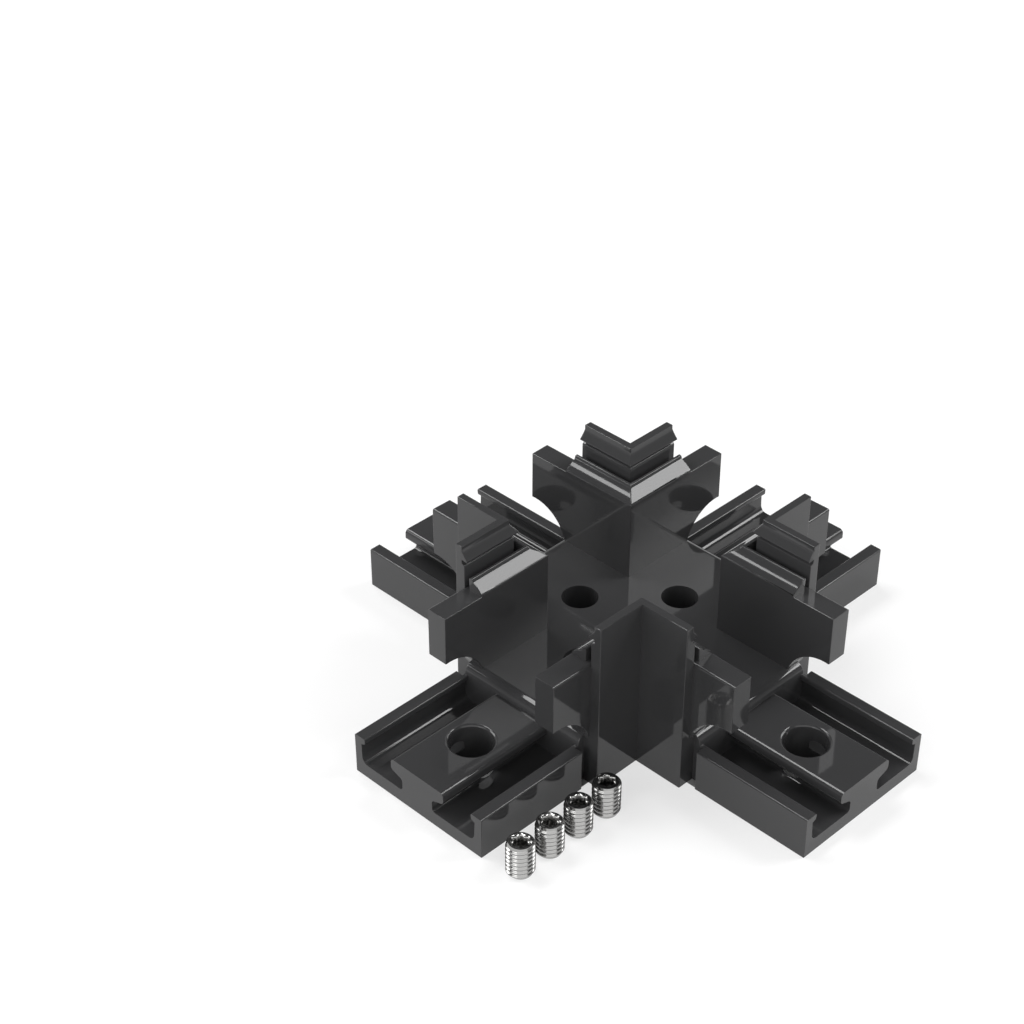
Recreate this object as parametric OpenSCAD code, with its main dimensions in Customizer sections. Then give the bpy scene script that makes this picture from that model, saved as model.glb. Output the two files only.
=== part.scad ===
// Cross corner connector for a square slotted profile, with its four set screws.
// One moulding joins four lengths of profile at right angles. The origin is the centre
// of the cross on the surface it rests on, the arms lie along X and Y, and Z is up.
// In the section outlines below, the first number is the distance from the arm's middle
// plane and the second is the height.

/* [Profile that the connector joins] */
// Outer width of the profile, and so of the connector's corners
profile_w = 40; // [38.9:0.1:43.5]
// Height of the corner posts, flush with the top of the profile
post_h = 40; // [38.3:0.1:47]

/* [Body] */
// Distance from the centre to the ends of the corner posts, where the profile butts
butt_reach = 31.65; // [29.45:0.05:35.25]
// Height of the trough floor
floor_z = 12.1; // [11.1:0.1:14.1]
// Half width of the trough between its walls
trough_half = 12.5; // [11.6:0.1:12.9]
// Distance past the butt face at which the trough floor's rounded end comes down to the tongue
floor_past = 1.65; // [0.6:0.05:2.1]
// Half width of the foot under that end
foot_half = 16.15; // [15.2:0.05:16.7]
// Diameter of the holes through the trough floor
floor_hole_d = 8; // [3.6:0.1:9.4]
// Distance from the centre to the holes through the trough floor
floor_hole_at = 15.1; // [11.8:0.05:21.15]

/* [Corner posts] */
// Thickness of the corner posts
post_t = 2.5; // [1.9:0.05:2.8]
// Distance that the hook stands out from the post
hook_out = 0.7; // [0.4:0.05:0.85]
// Depth of the catch cut into the post under the hook
catch_in = 0.75; // [0.25:0.05:1.15]
// Height of the post's top down to the tip of the hook
hook_drop = 3.2; // [2.85:0.05:3.75]
// Height of the catch under the hook
catch_h = 0.8; // [0.6:0.05:1.15]

/* [Inner walls] */
// Width of the slot between each post and the inner wall
slot_w = 1.3; // [0.95:0.05:1.6]
// Height of the slot's bottom
slot_z = 24.5; // [16.5:0.5:28]
// Height of the moulded strip's lip
lip_z = 33.4; // [32.95:0.05:34.7]
// Height of the strip's middle step below its lip
step_drop = 0.8; // [0.6:0.05:0.9]
// Height of the top of the strip's slope above the ear
slope_top = 1.6; // [1.2:0.05:1.6]
// Height of the foot of the strip's slope above the ear
slope_foot = 0.7; // [0.5:0.05:0.9]

/* [Ears] */
// Height of the top of the ears
ear_z = 30.45; // [30:0.05:31.15]
// Distance that the ears reach past the butt face
ear_past = 10.25; // [9.45:0.05:12.9]
// Radius of the round hollow under each ear
ear_hollow_r = 9.4; // [8.9:0.1:9.6]
// Distance from the butt face to the middle of that hollow
ear_hollow_at = 9.2; // [9.1:0.05:9.6]
// Height of the middle of that hollow
ear_hollow_z = 9.55; // [8.95:0.05:10.1]
// Rounding of the ears' outer top edge
ear_edge_r = 0.45; // [0.25:0.05:0.9]

/* [Tongues] */
// Distance from the centre to the end of each tongue
tongue_reach = 62; // [58.9:0.1:82.3]
// Width of the tongue
tongue_w = 36.1; // [35.3:0.1:37]
// Height of the tongue
tongue_h = 9.75; // [9.45:0.05:10.1]
// Thickness of the tongue's base
base_t = 3.3; // [2.4:0.05:3.75]
// Thickness of the tongue's side walls
side_t = 2; // [1.45:0.05:2.35]
// Distance that the side walls' lips stand inwards
lip_in = 0.95; // [0.4:0.05:1.4]
// Height of the side walls' lips
lip_h = 1.3; // [0.95:0.05:1.6]
// Gap between the butt face and the tongue's side walls
side_gap = 2.35; // [1.2:0.05:3.5]
// Radius of the cove at the foot of the side walls
cove_r = 1.55; // [0.75:0.05:1.85]
// Rounding of the side walls' top edges
side_edge_r = 0.35; // [0.2:0.05:0.4]

/* [Middle rib] */
// Width of the rib's head
head_w = 15; // [14.2:0.1:16.4]
// Width of the rib's neck
neck_w = 8.5; // [5.9:0.1:9.4]
// Rounding of the head's edges
head_r = 1.05; // [0.75:0.05:1.15]
// Height of the head's edges
head_h = 2.9; // [2.5:0.05:3.05]
// Slope of the head's underside
head_slope = 18; // [5:1:25]
// Rounding between the neck and the head
neck_top_r = 0.95; // [0.4:0.05:1.05]
// Rounding at the foot of the neck
neck_foot_r = 0.8; // [0.4:0.05:1.15]
// Diameter of the hole through the rib
rib_hole_d = 9.4; // [4.8:0.1:10.5]
// Distance from the centre to the hole through the rib
rib_hole_at = 47.05; // [44.75:0.05:51.75]
// Width of the chamfer round that hole
rib_hole_chamfer = 0.4; // [0.15:0.05:0.7]

/* [Set screws] */
// Diameter of the set screws over the thread
screw_d = 5.9; // [3.6:0.1:7]
// Length of the set screws
screw_l = 7.8; // [5.9:0.1:11.7]
// Width of the chamfer at both ends
screw_chamfer = 0.55; // [0.25:0.05:0.7]
// Diameter of the six-lobed socket over its lobes
socket_d = 3.9; // [2.2:0.1:4]
// Depth of the socket
socket_depth = 3.1; // [1.2:0.1:3.5]
// Distance from the middle of the arm to the row of screws
screw_row_at = 25.7; // [23:0.1:35.2]
// Distance from the centre to the first screw
screw_first_at = 35.05; // [30.6:0.05:40]
// Distance from one screw to the next
screw_pitch = 8; // [7.3:0.1:14.1]

/* [Hidden] */
$fn = 64;
half_w = profile_w / 2;
post_in = half_w - post_t;                 // inner face of the posts and outer face of the ears
wall_out = post_in - slot_w;               // slot side of the inner walls
floor_reach = butt_reach + floor_past;
floor_end_r = floor_z - tongue_h;          // rounding from the trough floor down to the tongue
ear_reach = butt_reach + ear_past;
side_in = tongue_w / 2 - side_t;           // inner face of the tongue's side walls
side_start = butt_reach + side_gap;
arc_steps = 6;
strip_lip_w = 0.55;                        // width of the flat on the strip's lip
strip_lip_r = 0.3;
strip_step_in = 1.2;                       // from the slot to the strip's middle step
strip_slope_in = 2.3;                      // from the slot to the top of the strip's slope
strip_slope_out = 0.3;                     // from the trough to the foot of the strip's slope
hook_top_in = 0.7;                         // from the post's inner face back to its narrow top
hook_neck_h = 1.05;                        // height of that narrow top
hook_shoulder_h = 0.6;                     // height of the shoulder under it
hook_shoulder_in = 0.3;
hook_tip_r = 0.25;
catch_slope = 0.45;                        // height of the slope at the bottom of the catch
lip_slope = 0.45;                          // height of the slope under a side wall's lip
six_lobes = 6;
screw_count = 4;
lobe_r_share = 0.17;                       // radius of a lobe as a share of the socket's diameter
core_r_share = 0.36;                       // radius of the socket's core as a share of its diameter
join = 1;                                  // overlap of solids that are one piece

function arc(x, y, r, from, to) =
    [for (i = [0:arc_steps]) let (a = from + (to - from) * i / arc_steps)
        [x + r * cos(a), y + r * sin(a)]];

// The last points mirrored, so that half an outline becomes the whole
function whole(half) =
    concat(half, [for (i = [len(half) - 1:-1:0]) [-half[i][0], half[i][1]]]);

// The same solid on all four arms
module each_arm() {
    for (a = [0:90:270]) rotate([0, 0, a]) children();
}

// An outline of distances and heights drawn out along +Y between two distances
module along_arm(from, to) {
    translate([0, to, 0]) rotate([90, 0, 0]) linear_extrude(to - from) children();
}

// An outline of distances along the arm and heights drawn out across the arm
module across_arm(from, to) {
    translate([from, 0, 0]) rotate([90, 0, 90]) linear_extrude(to - from) children();
}

// Half of the tongue's section, from its bottom edge to the middle of its top
function tongue_half() =
    let (under_z = tongue_h - head_h,
         foot_z = base_t,
         nose_x = head_w / 2 - head_r,
         neck_x = neck_w / 2)
    concat(
        [[tongue_w / 2, 0]],
        arc(tongue_w / 2 - side_edge_r, tongue_h - side_edge_r, side_edge_r, 0, 90),
        arc(side_in - lip_in + side_edge_r, tongue_h - side_edge_r, side_edge_r, 90, 180),
        [[side_in - lip_in, tongue_h - lip_h],
         [side_in, tongue_h - lip_h - lip_slope]],
        arc(side_in - cove_r, foot_z + cove_r, cove_r, 0, -90),
        arc(neck_x + neck_foot_r, foot_z + neck_foot_r, neck_foot_r, 270, 180),
        arc(neck_x + neck_top_r, neck_corner_z(), neck_top_r, 180, 90 + head_slope),
        arc(nose_x, under_z + head_r, head_r, head_slope - 90, 0),
        arc(nose_x, tongue_h - head_r, head_r, 0, 90));

// Height of the rounding between neck and head, set where the sloped underside meets it
function neck_corner_z() =
    let (nose_x = head_w / 2 - head_r,
         nose_z = tongue_h - head_h + head_r,
         run = nose_x + head_r * sin(head_slope)
             - (neck_w / 2 + neck_top_r - neck_top_r * sin(head_slope)))
    nose_z - head_r * cos(head_slope) - run * tan(head_slope) - neck_top_r * cos(head_slope);

module tongue() {
    difference() {
        along_arm(floor_reach - join, tongue_reach) polygon(whole(tongue_half()));
        for (side = [0, 1]) mirror([side, 0, 0])
            translate([foot_half, butt_reach, -join])
                cube([tongue_w, side_gap, tongue_h + 2 * join]);
    }
}

module rib_hole() {
    translate([0, rib_hole_at, -join]) {
        cylinder(d = rib_hole_d, h = tongue_h + 2 * join);
        translate([0, 0, tongue_h + join - rib_hole_chamfer])
            cylinder(d1 = rib_hole_d, d2 = rib_hole_d + 2 * (rib_hole_chamfer + join),
                     h = rib_hole_chamfer + join);
    }
}

// Section of a corner post with its snap hook
function post_section() =
    let (tip_z = post_h - hook_drop)
    concat(
        [[half_w, 0], [half_w, post_h],
         [post_in + hook_top_in, post_h],
         [post_in + hook_top_in, post_h - hook_neck_h],
         [post_in + hook_shoulder_in, post_h - hook_neck_h - hook_shoulder_h]],
        arc(post_in - hook_out + hook_tip_r, tip_z + hook_tip_r / 2, hook_tip_r, 150, 250),
        [[post_in + catch_in, tip_z - hook_tip_r / 2],
         [post_in + catch_in, tip_z - catch_h],
         [post_in, tip_z - catch_h - catch_slope],
         [post_in, 0]]);

// Section of an inner wall with the moulded strip on its top
function wall_section() =
    concat(
        [[wall_out, 0]],
        arc(wall_out - strip_lip_r, lip_z - strip_lip_r, strip_lip_r, 0, 90),
        arc(wall_out - strip_lip_w, lip_z - strip_lip_r, strip_lip_r, 90, 160),
        [[wall_out - strip_step_in, lip_z - step_drop],
         [wall_out - strip_slope_in, ear_z + slope_top],
         [trough_half + strip_slope_out, ear_z + slope_foot],
         [trough_half, ear_z + slope_foot - strip_slope_out],
         [trough_half, 0]]);

// The part of a corner that lies towards one arm, cut at the mitre
module mitred() {
    intersection() {
        children();
        translate([0, 0, -join]) linear_extrude(post_h + 2 * join)
            polygon([[0, 0], [butt_reach, butt_reach], [0, butt_reach]]);
    }
}

// Post, slot and inner wall of one side of one corner
module corner_side() {
    mitred() {
        along_arm(0, butt_reach) polygon(post_section());
        along_arm(0, butt_reach) polygon(wall_section());
        along_arm(0, butt_reach) polygon([[wall_out - join / 2, 0], [post_in + join / 2, 0],
                                          [post_in + join / 2, slot_z], [wall_out - join / 2, slot_z]]);
    }
}

module corner() {
    corner_side();
    mirror([1, -1, 0]) corner_side();
}

// Ear that carries an inner wall on past the butt face, with the hollow under it
module ear() {
    intersection() {
        along_arm(butt_reach - join, ear_reach)
            polygon(concat(
                [[trough_half, 0], [post_in, 0]],
                arc(post_in - ear_edge_r, ear_z - ear_edge_r, ear_edge_r, 0, 90),
                [[trough_half, ear_z]]));
        across_arm(trough_half - join, post_in + join)
            difference() {
                translate([butt_reach - join, ear_hollow_z])
                    square([ear_past + join, ear_z - ear_hollow_z]);
                translate([butt_reach + ear_hollow_at, ear_hollow_z]) circle(ear_hollow_r);
            }
    }
}

// Solid cross under the trough, and the narrower floor with its end rounded down to the tongue
module foot() {
    across_arm(-half_w, half_w) square([butt_reach, tongue_h]);
    across_arm(-foot_half, foot_half)
        polygon(concat(
            [[0, 0], [floor_reach, 0]],
            arc(floor_reach - floor_end_r, tongue_h, floor_end_r, 0, 90),
            [[0, floor_z]]));
}

module connector_body() {
    color("#1c1d1f")
    difference() {
        union() {
            each_arm() {
                foot();
                tongue();
                corner();
                ear();
                mirror([1, 0, 0]) ear();
            }
        }
        each_arm() {
            rib_hole();
            translate([0, floor_hole_at, -join]) cylinder(d = floor_hole_d, h = floor_z + 2 * join);
        }
    }
}

module lobed_socket() {
    translate([0, 0, screw_l - socket_depth]) linear_extrude(socket_depth + join) {
        circle(socket_d * core_r_share);
        for (i = [1:six_lobes]) rotate([0, 0, i * 360 / six_lobes])
            translate([socket_d * (0.5 - lobe_r_share), 0]) circle(socket_d * lobe_r_share);
    }
}

module set_screw() {
    difference() {
        rotate_extrude()
            polygon([[0, 0], [screw_d / 2 - screw_chamfer, 0], [screw_d / 2, screw_chamfer],
                     [screw_d / 2, screw_l - screw_chamfer], [screw_d / 2 - screw_chamfer, screw_l],
                     [0, screw_l]]);
        lobed_socket();
    }
}

module set_screws() {
    color("#b9bcbf")
    for (i = [0:screw_count - 1])
        translate([screw_row_at, -screw_first_at - i * screw_pitch, 0]) set_screw();
}

connector_body();
set_screws();
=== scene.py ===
# %% [markdown]
# # A cross corner connector in gloss black plastic
#
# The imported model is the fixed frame: one moulded connector and its four set screws. This
# lesson gives the moulding the softened edges and the deep gloss of real plastic, spins real
# threads for the screws, and lights the whole as a product picture.

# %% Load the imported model
import bmesh
import bpy
from math import cos, pi, radians, sin
from mathutils import Matrix, Vector


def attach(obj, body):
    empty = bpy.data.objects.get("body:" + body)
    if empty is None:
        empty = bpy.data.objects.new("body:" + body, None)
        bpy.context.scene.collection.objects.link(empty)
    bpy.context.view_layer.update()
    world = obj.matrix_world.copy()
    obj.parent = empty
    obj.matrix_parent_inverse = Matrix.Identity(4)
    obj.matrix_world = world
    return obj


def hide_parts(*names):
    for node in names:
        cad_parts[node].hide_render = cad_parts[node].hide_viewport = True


MM = 0.001
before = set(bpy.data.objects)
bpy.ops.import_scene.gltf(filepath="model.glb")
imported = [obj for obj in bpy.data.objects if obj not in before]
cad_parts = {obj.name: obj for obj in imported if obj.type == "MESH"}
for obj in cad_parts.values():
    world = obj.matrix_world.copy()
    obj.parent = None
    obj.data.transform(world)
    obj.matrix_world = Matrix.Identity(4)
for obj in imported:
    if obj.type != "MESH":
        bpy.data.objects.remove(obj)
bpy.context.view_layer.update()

# %% [markdown]
# ## The camera
#
# The picture's lines give a view from 45 degrees to the side and 35.26 degrees above, the
# classic isometric direction, but with real perspective. A lens of 81 mm on the usual 36 mm
# sensor, half a metre away, repeats it. The three directions of the view are worked
# out from the two angles, so the camera's matrix needs no trial and error.

# %% Camera
def view_axes(azimuth, elevation):
    """The camera's right, up and backward directions for two angles in degrees."""
    a, e = radians(azimuth), radians(elevation)
    back = Vector((sin(a) * cos(e), -cos(a) * cos(e), sin(e)))
    right = Vector((cos(a), sin(a), 0))
    return right, back.cross(right), back


LENS = 80.9
DISTANCE, RIGHT_SHIFT, UP_SHIFT = 0.4904, -0.0252, 0.0342

right, up, back = view_axes(45, 35.264)
camera = bpy.data.objects.new("camera", bpy.data.cameras.new("camera"))
bpy.context.collection.objects.link(camera)
camera.data.sensor_width = 36
camera.data.lens = LENS
place = back * DISTANCE + right * RIGHT_SHIFT + up * UP_SHIFT
camera.matrix_world = Matrix.Translation(place) @ Matrix((right, up, back)).transposed().to_4x4()
camera.data.clip_start, camera.data.clip_end = 0.01, 20
bpy.context.scene.camera = camera
print("camera at", [round(x, 4) for x in place])

# %% [markdown]
# ## Shader maths as Python
#
# A material is a graph of nodes. Wiring it by hand takes a line for every link, so a small
# class wraps a socket: its operators add Math nodes, and one method adds any other node.

# %% A small class for shader graphs
class Socket:
    """An output socket in a node tree, with arithmetic that adds Math nodes."""

    def __init__(self, tree, out=None):
        self.tree, self.out = tree, out

    def node(self, kind, settings=(), output=0, **inputs):
        """Adds a node, sets its settings first, then its sockets, and returns one output."""
        n = self.tree.nodes.new(kind)
        for name, value in dict(settings).items():
            setattr(n, name, value)
        for name, value in inputs.items():
            key = int(name[1:]) if name[1:].isdigit() else name.replace("_", " ")
            if isinstance(value, Socket):
                self.tree.links.new(value.out, n.inputs[key])
            else:
                n.inputs[key].default_value = value
        return Socket(self.tree, n.outputs[output]) if n.outputs else None

    def maths(self, operation, a, b=0.0):
        return self.node("ShaderNodeMath", {"operation": operation}, _0=a, _1=b)

    def __abs__(self):
        return self.maths("ABSOLUTE", self)

    def __gt__(self, other):
        return self.maths("GREATER_THAN", self, other)

    def least(self, other):
        return self.maths("MINIMUM", self, other)

    def most(self, other):
        return self.maths("MAXIMUM", self, other)

    def __add__(self, other):
        return self.maths("ADD", self, other)

    def __mul__(self, other):
        return self.maths("MULTIPLY", self, other)

    def __rsub__(self, other):
        return self.maths("SUBTRACT", other, self)

    __radd__, __rmul__ = __add__, __mul__


def new_material(name):
    """A material with an empty tree: returns it with a Socket to build from."""
    material = bpy.data.materials.new(name)
    material.use_nodes = True
    material.node_tree.nodes.clear()
    return material, Socket(material.node_tree)


def finish_material(graph, surface):
    """Links a shader to the output node."""
    graph.node("ShaderNodeOutputMaterial", Surface=surface)


print("Socket is ready")

# %% [markdown]
# ## Gloss black plastic
#
# The moulding is dyed through and comes from a polished mould, so it mirrors the room sharply
# though it is nearly black. That is a dark base colour with a very low roughness. A plastic
# mirrors only about 3 percent of what it faces head on, and more at a slant, which the
# shader's own index of refraction gives. A slow noise varies the roughness a little, for a
# mould that isn't polished quite evenly. There is no bump, because the picture shows none.

# %% Plastic
PLASTIC_IOR = 1.42
POLISH_SCALE = 76.0


def gloss_plastic(name, colour, roughness):
    material, g = new_material(name)
    spot = g.node("ShaderNodeTexCoord", output="Object")
    polish = g.node("ShaderNodeTexNoise", output="Fac", Vector=spot, Scale=POLISH_SCALE,
                    Detail=3.0)
    shader = g.node("ShaderNodeBsdfPrincipled", Base_Color=(*colour, 1), IOR=PLASTIC_IOR,
                    Roughness=polish * (roughness * 0.5) + roughness * 0.75)
    finish_material(g, shader)
    return material


plastic = gloss_plastic("gloss black plastic", (0.037, 0.037, 0.038), 0.06)
print("material:", plastic.name)

# %% [markdown]
# ## Plated steel
#
# The set screws are plated, so they are all mirror: full metallic. A metal shows its base
# colour only in what it mirrors. A mid grey keeps the front of the thread grey, while the
# lamps, which are several times as bright as white, still show in it as white lines. The
# roughness softens what the thread mirrors.

# %% Plated steel
def plated_steel(name, colour, roughness):
    material, g = new_material(name)
    shader = g.node("ShaderNodeBsdfPrincipled", Base_Color=(*colour, 1), Metallic=1.0,
                    Roughness=roughness)
    finish_material(g, shader)
    return material


steel = plated_steel("bright plated steel", (0.36, 0.358, 0.352), 0.18)
print("material:", steel.name)

# %% [markdown]
# ## The moulding, with softened edges
#
# The CAD solid has perfectly sharp edges, and a sharp edge never catches the light. The picture
# has light lines along them, which read as a rounding of one or two tenths of a millimetre.
# The CAD mesh stays as it is, so a copy is made: its loose triangles are merged, the flat ones
# joined, and the long outer edges bevelled. A Weighted Normal modifier then keeps the flat
# faces flat in the shading and puts all the turning into the narrow bevels, which matters on
# a surface that mirrors.
#
# Bevel can clamp its width so that no bevels overlap, but one very short neighbouring edge
# then makes all of them vanishingly narrow. So the clamp is off, short edges are left sharp,
# and so are the few that end in a fan of thin faces, where a bevel would fold over.

# %% A merged copy of a CAD node
def merged_copy(node):
    """A bmesh of a CAD node with its doubles merged and its flat triangles joined."""
    bm = bmesh.new()
    bm.from_mesh(node.data)
    bmesh.ops.remove_doubles(bm, verts=bm.verts, dist=0.001 * MM)
    bmesh.ops.dissolve_limit(bm, angle_limit=radians(0.4), verts=bm.verts, edges=bm.edges,
                             use_dissolve_boundaries=False, delimit={"NORMAL"})
    return bm


def add_piece(name, bm, material, sharp=radians(38)):
    """Makes an object of a bmesh, at the origin, with smooth shading between sharp edges."""
    mesh = bpy.data.meshes.new(name)
    for edge in bm.edges:
        edge.smooth = edge.calc_face_angle(pi) < sharp
    for face in bm.faces:
        face.smooth = True
    bm.to_mesh(mesh)
    bm.free()
    piece = bpy.data.objects.new(name, mesh)
    bpy.context.collection.objects.link(piece)
    mesh.materials.append(material)
    weights = piece.modifiers.new("flat faces stay flat", "WEIGHTED_NORMAL")
    weights.mode, weights.weight, weights.keep_sharp = "FACE_AREA", 100, True
    print(name, len(mesh.polygons), "faces")
    return piece


body = merged_copy(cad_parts["connector_body"])
print("merged copy:", len(body.verts), "points,", len(body.faces), "faces")

# %% Bevel the long outer edges
EDGE_ROUNDING = 0.18 * MM
SHORTEST_EDGE = 0.6 * MM
SHARP_TURN = radians(32)


def in_a_fan(v):
    """True where an inner corner runs into a fan of thin faces: a bevel would fold there."""
    return len(v.link_edges) > 5 and any(
        not e.is_convex and e.calc_face_angle() > radians(60) for e in v.link_edges)


outer = [e for e in body.edges if e.is_convex and e.calc_face_angle() > SHARP_TURN
         and e.calc_length() > SHORTEST_EDGE and not any(in_a_fan(v) for v in e.verts)]
print(len(outer), "outer edges of", len(body.edges))
bmesh.ops.bevel(body, geom=outer, offset=EDGE_ROUNDING, affect="EDGES", segments=2,
                profile=0.5, material=-1, clamp_overlap=False, loop_slide=True)
moulding = add_piece("moulding", body, plastic)
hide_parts("connector_body")
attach(moulding, "root")

# %% [markdown]
# ## A set screw with a real thread
#
# A thread is a small groove that climbs as it goes round. A rolled thread's crests and roots
# are rounded, so one pitch of it is drawn as a wave and not as a sharp V. Blender's spin makes
# it climb when it is given a step along the axis as well as an angle: the wave is spun for
# more turns than the screw is long, and each turn's lower edge merges with the upper edge of
# the one below. Two plane cuts give the length. The cut rims are then drawn in to a plain
# circle, which makes the chamfer that starts the thread.

# %% Thread
SCREW_R = 2.95 * MM
SCREW_L = 7.8 * MM
PITCH = 1.0 * MM
THREAD_DEPTH = 0.36 * MM
CHAMFER = 0.5 * MM
STEPS = 96


def thread(bm, low, high):
    """Spins one wave of the thread up past the stretch from low to high, then trims it."""
    outline = [(t / 8, SCREW_R - THREAD_DEPTH * (0.5 + 0.5 * cos(pi * t / 4))) for t in range(9)]
    verts = [bm.verts.new((r, 0, low + (t - 2) * PITCH)) for t, r in outline]
    edges = [bm.edges.new(pair) for pair in zip(verts, verts[1:])]
    turns = int((high - low) / PITCH) + 4
    bmesh.ops.spin(bm, geom=verts + edges, cent=(0, 0, 0), axis=(0, 0, 1), angle=2 * pi * turns,
                   dvec=(0, 0, PITCH / STEPS), steps=STEPS * turns, use_duplicate=False)
    bmesh.ops.remove_doubles(bm, verts=bm.verts, dist=0.005 * MM)
    for height, up in ((low, -1), (high, 1)):
        bmesh.ops.bisect_plane(bm, geom=bm.verts[:] + bm.edges[:] + bm.faces[:],
                               plane_co=(0, 0, height), plane_no=(0, 0, up), clear_outer=True)


def rim(bm, height):
    """The open edges that lie at one height."""
    return [e for e in bm.edges if e.is_boundary
            and all(abs(v.co.z - height) < 0.001 * MM for v in e.verts)]


def drawn_rim(bm, edges, radius, height):
    """Extrudes an open rim and draws the new one to a circle at another height."""
    new = bmesh.ops.extrude_edge_only(bm, edges=edges)["geom"]
    for v in (g for g in new if isinstance(g, bmesh.types.BMVert)):
        flat = v.co.xy.normalized() * radius
        v.co = (flat.x, flat.y, height)
    return [g for g in new if isinstance(g, bmesh.types.BMEdge) and g.is_boundary]


print("thread:", round((SCREW_L - 2 * CHAMFER) / PITCH, 2), "turns between the chamfers")

# %% [markdown]
# ### The six-lobed socket
#
# The socket starts as the inner circle of the screw's top face. Its points are pushed in and
# out by a cosine with six waves, which gives the six lobes. The outline is then extruded in
# at 45 degrees for the mouth's chamfer, straight down for the wall, and closed with a shallow
# cone, as the real punch leaves it.

# %% Socket and whole screw
SOCKET_R = 1.5 * MM
MOUTH = 0.24 * MM
LOBE = 0.2 * MM
SOCKET_DEPTH = 3.1 * MM
TIP_R, CONE_DEPTH = 0.2 * MM, 0.5 * MM


def lobed(point, radius):
    """The point moved straight in or out onto the six-lobed outline."""
    turn = Vector((1, 0)).angle_signed(point.xy.normalized())
    r = radius + LOBE * cos(6 * turn)
    return Vector((cos(-turn) * r, sin(-turn) * r, point.z))


def lobed_rim(bm, edges, radius, height):
    """Extrudes an open rim onto the six-lobed outline at another height."""
    new = drawn_rim(bm, edges, radius, height)
    for v in {v for e in new for v in e.verts}:
        v.co = lobed(v.co, radius)
    return new


def set_screw():
    """One screw, standing on the origin."""
    bm = bmesh.new()
    thread(bm, CHAMFER, SCREW_L - CHAMFER)
    top_r = SCREW_R - CHAMFER
    foot = drawn_rim(bm, rim(bm, CHAMFER), top_r, 0)
    bmesh.ops.contextual_create(bm, geom=foot)
    crown = drawn_rim(bm, rim(bm, SCREW_L - CHAMFER), top_r, SCREW_L)
    mouth = lobed_rim(bm, crown, SOCKET_R + MOUTH, SCREW_L)
    wall = lobed_rim(bm, mouth, SOCKET_R, SCREW_L - MOUTH)
    floor = lobed_rim(bm, wall, SOCKET_R, SCREW_L - SOCKET_DEPTH)
    cone = drawn_rim(bm, floor, TIP_R, SCREW_L - SOCKET_DEPTH - CONE_DEPTH)
    bmesh.ops.contextual_create(bm, geom=cone)
    bmesh.ops.recalc_face_normals(bm, faces=bm.faces)
    return bm


pattern = set_screw()
print("one screw:", len(pattern.faces), "faces")

# %% Four screws in a row
SCREW_X = 25.7 * MM
SCREW_Y = [-(35.05 + 8.0 * i) * MM for i in range(4)]
SOCKET_TURN = radians(15)

bmesh.ops.rotate(pattern, verts=pattern.verts, cent=(0, 0, 0),
                 matrix=Matrix.Rotation(SOCKET_TURN, 3, "Z"))
for number, y in enumerate(SCREW_Y, 1):
    screw = pattern.copy()
    bmesh.ops.translate(screw, verts=screw.verts, vec=(SCREW_X, y, 0))
    piece = add_piece(f"set_screw_{number}", screw, steel, sharp=radians(55))
    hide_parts("set_screws")
    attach(piece, "root")
pattern.free()

# %% [markdown]
# ## Floor and backdrop
#
# The part stands on a plain white floor. Its white comes from the floor's own glow for the
# camera and for mirrored rays, told apart by the Light Path node, so the lamps can stay at a
# level that suits the part. The diffuse share underneath still takes the part's soft shadow.
# Under the cross the glow is cut away, which is painted shade where the part keeps the light
# off.

# %% Floor
ARM_HALF = 17.6 * MM
ARM_REACH = 61.2 * MM


def white_for_view(g):
    """1 for rays from the camera and for mirrored or transmitted rays, 0 for all others."""
    path = g.tree.nodes.new("ShaderNodeLightPath")
    seen = [Socket(g.tree, path.outputs[name])
            for name in ("Is Camera Ray", "Is Glossy Ray", "Is Transmission Ray")]
    return (seen[0] + seen[1] + seen[2]).least(1.0)


def glow_mask_with_painted_shade(g):
    """0 under the cross, a painted shade where no light gets in, and 1 everywhere else."""
    across = g.node("ShaderNodeSeparateXYZ",
                    Vector=g.node("ShaderNodeTexCoord", output="Object"))
    x = abs(across)
    y = abs(Socket(g.tree, across.out.node.outputs["Y"]))
    return (x.least(y) > ARM_HALF).most(x.most(y) > ARM_REACH)


def studio_floor(name, grey, glow):
    material, g = new_material(name)
    matt = g.node("ShaderNodeBsdfDiffuse", Color=(grey, grey, grey, 1))
    # the glow is cut to 0 under the cross: painted shade beneath the part
    light = g.node("ShaderNodeEmission", Color=(1, 1, 1, 1),
                   Strength=white_for_view(g) * glow_mask_with_painted_shade(g) * glow)
    finish_material(g, g.node("ShaderNodeAddShader", _0=matt, _1=light))
    return material


ground = bmesh.new()
bmesh.ops.create_grid(ground, x_segments=1, y_segments=1, size=3)
mesh = bpy.data.meshes.new("floor")
ground.to_mesh(mesh)
ground.free()
floor = bpy.data.objects.new("floor", mesh)
bpy.context.collection.objects.link(floor)
mesh.materials.append(studio_floor("white floor", 0.34, 0.63))
print("floor laid")

# %% [markdown]
# ## Light
#
# Black gloss shows the lamps more than it shows itself: every rounded edge carries a thin
# mirrored strip of them. So the lamps are large soft boxes, placed where the picture's bright
# edges and bright slopes point. One wide dim sheet in front fills the walls without showing
# as a white stripe in the screws. The room is grey at the horizon and nearly dark overhead,
# because the flat tops mirror that part of it and have to stay dark.

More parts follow.
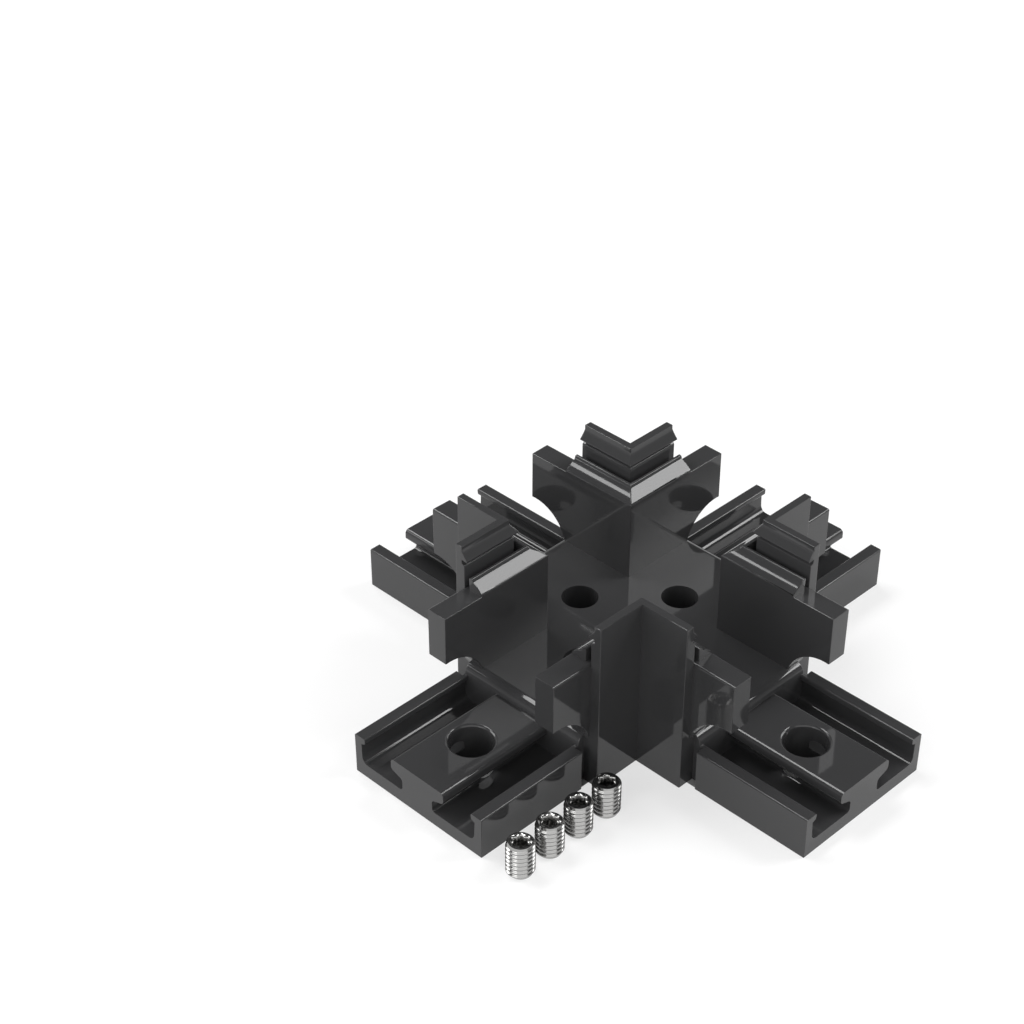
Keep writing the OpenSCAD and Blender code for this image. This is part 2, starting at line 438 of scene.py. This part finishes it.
# %% World
HORIZON, ZENITH = 0.45, 0.08
world = bpy.data.worlds.new("studio")
bpy.context.scene.world = world
world.use_nodes = True
world.node_tree.nodes.clear()
g = Socket(world.node_tree)
camera_ray = Socket(g.tree, g.tree.nodes.new("ShaderNodeLightPath").outputs["Is Camera Ray"])
sky = g.node("ShaderNodeSeparateXYZ", output="Z",
             Vector=g.node("ShaderNodeTexCoord", output="Generated"))
level = g.node("ShaderNodeMapRange", {"interpolation_type": "SMOOTHSTEP"}, Value=sky,
               From_Min=0.25, From_Max=0.5, To_Min=HORIZON, To_Max=ZENITH)
room = g.node("ShaderNodeBackground", Color=(1, 1, 1, 1), Strength=level)
white = g.node("ShaderNodeBackground", Color=(1, 1, 1, 1), Strength=1.0)
g.node("ShaderNodeOutputWorld",
       Surface=g.node("ShaderNodeMixShader", _0=camera_ray, _1=room, _2=white))
print("world set")


# %% Soft boxes
def soft_box(name, direction, along, distance, width, height, brightness):
    """A rectangular lamp of a given surface brightness, aimed at the part, its width laid
    along a given direction."""
    lamp = bpy.data.lights.new(name, "AREA")
    lamp.shape, lamp.size, lamp.size_y = "RECTANGLE", width, height
    lamp.energy = brightness * pi * width * height
    box = bpy.data.objects.new(name, lamp)
    bpy.context.collection.objects.link(box)
    back = Vector(direction).normalized()
    side = (Vector(along) - back * back.dot(Vector(along))).normalized()
    turn = Matrix((side, back.cross(side), back)).transposed()
    box.matrix_world = Matrix.Translation(back * distance) @ turn.to_4x4()
    print(name, round(lamp.energy, 2), "W")


soft_box("back right", (0.375, 0.583, 0.72), (1, 0, -0.5), 2.0, 0.8, 0.50, 10)
soft_box("overhead left", (-0.51, -0.03, 0.86), (0, 1, 0), 2.0, 1.2, 0.60, 9)
soft_box("right side", (0.362, 0.853, 0.375), (1, -0.42, 0), 2.0, 1.2, 1.2, 4.5)
soft_box("left side", (-0.803, -0.464, 0.375), (0.5, -0.87, 0), 2.0, 1.0, 1.2, 5.5)
soft_box("front left", (-0.04, -0.939, 0.342), (1, 0, 0), 2.0, 1.1, 1.0, 2.5)
soft_box("front sheet", (0.64, -0.62, 0.45), (1, 1, 0), 2.0, 3.4, 2.2, 1.25)

# %% [markdown]
# ## View
#
# The Standard view transform shows colours as they are written.

# %% Finish
bpy.context.scene.view_settings.view_transform = "Standard"
